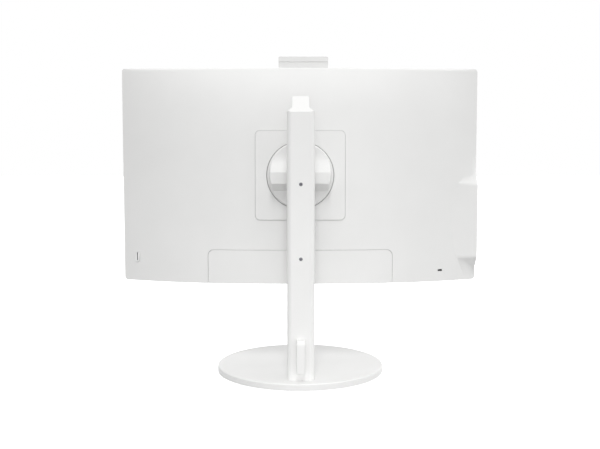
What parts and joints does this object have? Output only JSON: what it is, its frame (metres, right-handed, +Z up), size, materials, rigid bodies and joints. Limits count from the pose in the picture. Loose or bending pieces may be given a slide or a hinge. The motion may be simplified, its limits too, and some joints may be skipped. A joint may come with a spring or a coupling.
{
  "type": "all-in-one computer",
  "caption": "All-in-one computer with a curved white back on a column and round base: the display lifts, tilts and swivels, the camera sinks into its top edge, a side drive opens.",
  "frame": {"origin": "middle of the round base, on the table", "axes": "+Z up, the screen faces -Y, +X to the left when seen from behind"},
  "size_m": [0.54, 0.247, 0.471],
  "materials": {
    "white_plastic": "fine matte texture",
    "white_metal": "satin powder coat",
    "black_plastic": "matte",
    "rubber": "matte",
    "steel": "zinc plated sheet",
    "aluminium": "as extruded",
    "copper": "bare copper",
    "glass": "dark glass over a black mask",
    "acrylic": "clear, polished",
    "circuit_board": "solder mask",
    "acetal": "as moulded"
  },
  "bodies": {
    "turntable": {"turntable_plate": "white_metal", "base_feet": "rubber", "swivel_pin": "steel", "swivel_clip": "steel"},
    "stand": {"swivel_washer": "acetal", "base_weight": "steel", "base_cover": "white_plastic", "column_foot": "aluminium", "column_bolts": "steel", "column_frame": "steel", "column_rear_shell": "white_plastic", "column_front_shell": "white_plastic", "column_screws": "steel", "cable_hook": "white_plastic", "lift_rails": "steel", "spring_axle": "steel", "lift_spring": "steel"},
    "spring_drum": {"spring_drum": "acetal"},
    "carriage": {"carriage": "aluminium", "carriage_bushes": "acetal", "hinge_arm": "white_metal"},
    "head": {"head_plate": "steel", "head_cover": "white_plastic", "tilt_pin": "steel", "tilt_washers": "acetal", "tilt_nuts": "steel", "pivot_washer": "acetal", "pivot_retainer": "steel"},
    "display": {"rear_cover": "white_plastic", "port_cover": "white_plastic", "mount_trim": "white_plastic", "vesa_bracket": "steel", "bracket_screws": "steel", "front_bezel": "white_plastic", "screen_glass": "glass", "light_guide": "acrylic", "panel_tray": "steel", "chassis": "steel", "motherboard": "circuit_board", "cpu_heatsink": "aluminium", "heat_pipe": "copper", "fan_housing": "black_plastic", "memory_modules": "circuit_board", "ssd_module": "circuit_board", "io_sockets": "steel", "dc_jack": "black_plastic", "io_shield": "white_metal", "speakers": "black_plastic", "drive_case": "steel", "webcam_guide": "black_plastic", "power_switch": "circuit_board", "lock_plate": "steel"},
    "webcam": {"webcam_housing": "white_plastic", "webcam_lens": "glass"},
    "drive_tray": {"disc_tray": "black_plastic", "tray_bezel": "white_plastic"},
    "disc_spindle": {"disc_spindle": "steel"},
    "eject_button": {"eject_button": "white_plastic"},
    "power_button": {"power_button": "white_plastic"},
    "fan_rotor": {"fan_rotor": "black_plastic"}
  },
  "joints": [
    {"name": "swivel", "type": "hinge", "parent": "turntable", "child": "stand", "pos_m": [0, 0, 0], "axis": [0, 0, 1], "range_deg": [-45, 45]},
    {"name": "lift", "type": "slide", "parent": "stand", "child": "carriage", "axis": [0, 0, 1], "range_m": [-0.09, 0.04], "deforming": ["lift_spring"]},
    {"name": "drum_spin", "type": "hinge", "parent": "stand", "child": "spring_drum", "pos_m": [0, 0.0823, 0.362], "axis": [1, 0, 0], "range_deg": [-682, 305]},
    {"name": "tilt", "type": "hinge", "parent": "carriage", "child": "head", "pos_m": [0, 0.02698, 0.289], "axis": [-1, 0, 0], "range_deg": [-5, 20]},
    {"name": "level", "type": "hinge", "parent": "head", "child": "display", "pos_m": [0, 0.00748, 0.292], "axis": [0, 1, 0], "range_deg": [-4, 4]},
    {"name": "camera_slide", "type": "slide", "parent": "display", "child": "webcam", "axis": [0, 0, 1], "range_m": [-0.0185, 0]},
    {"name": "tray_slide", "type": "slide", "parent": "display", "child": "drive_tray", "axis": [-1, 0, 0], "range_m": [0, 0.11]},
    {"name": "disc_spin", "type": "hinge", "parent": "drive_tray", "child": "disc_spindle", "pos_m": [-0.2072, -0.0381, 0.2225], "axis": [0, 1, 0], "continuous": true},
    {"name": "eject_press", "type": "slide", "parent": "drive_tray", "child": "eject_button", "axis": [1, 0, 0], "range_m": [0, 0.0008], "stiffness_N_per_m": 500},
    {"name": "power_press", "type": "slide", "parent": "display", "child": "power_button", "axis": [0, -1, 0], "range_m": [0, 0.0008], "stiffness_N_per_m": 600},
    {"name": "fan_spin", "type": "hinge", "parent": "display", "child": "fan_rotor", "pos_m": [0.135, -0.0373, 0.388], "axis": [0, 1, 0], "continuous": true}
  ],
  "couplings": [
    {"joint": "drum_spin", "follows": "lift", "rad_per_m": 131.58}
  ]
}
